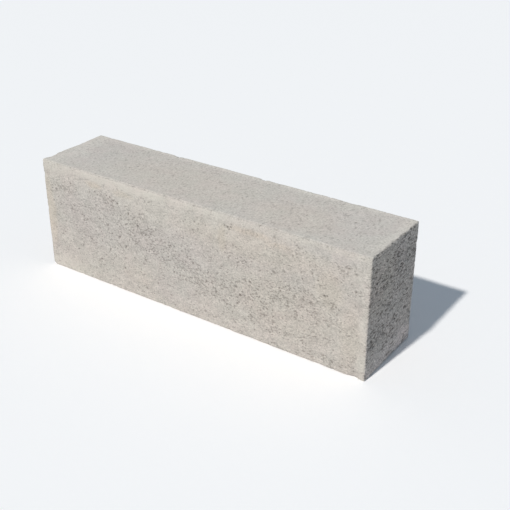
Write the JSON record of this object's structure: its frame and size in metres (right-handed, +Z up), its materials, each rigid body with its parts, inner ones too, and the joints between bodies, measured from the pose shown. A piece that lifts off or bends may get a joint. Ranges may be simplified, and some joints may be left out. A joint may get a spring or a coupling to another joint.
{
  "type": "concrete block",
  "caption": "Solid dense concrete walling block, a long plain rectangular block with one softly rounded long arris, laid in mortar in walls and as make-up courses.",
  "frame": {"origin": "middle of the bed, on the surface that the block stands on", "axes": "+X along the block's length, -Y out of the face whose top arris is rounded, +Z up"},
  "size_m": [0.44, 0.1, 0.14],
  "materials": {
    "concrete": "dry, matt, pale grey-beige dense concrete: fine pitted face with smooth paler paste along the arrises, fine-grained top, coarse open-pored ends"
  },
  "bodies": {
    "root": {"block": "concrete"}
  },
  "joints": []
}
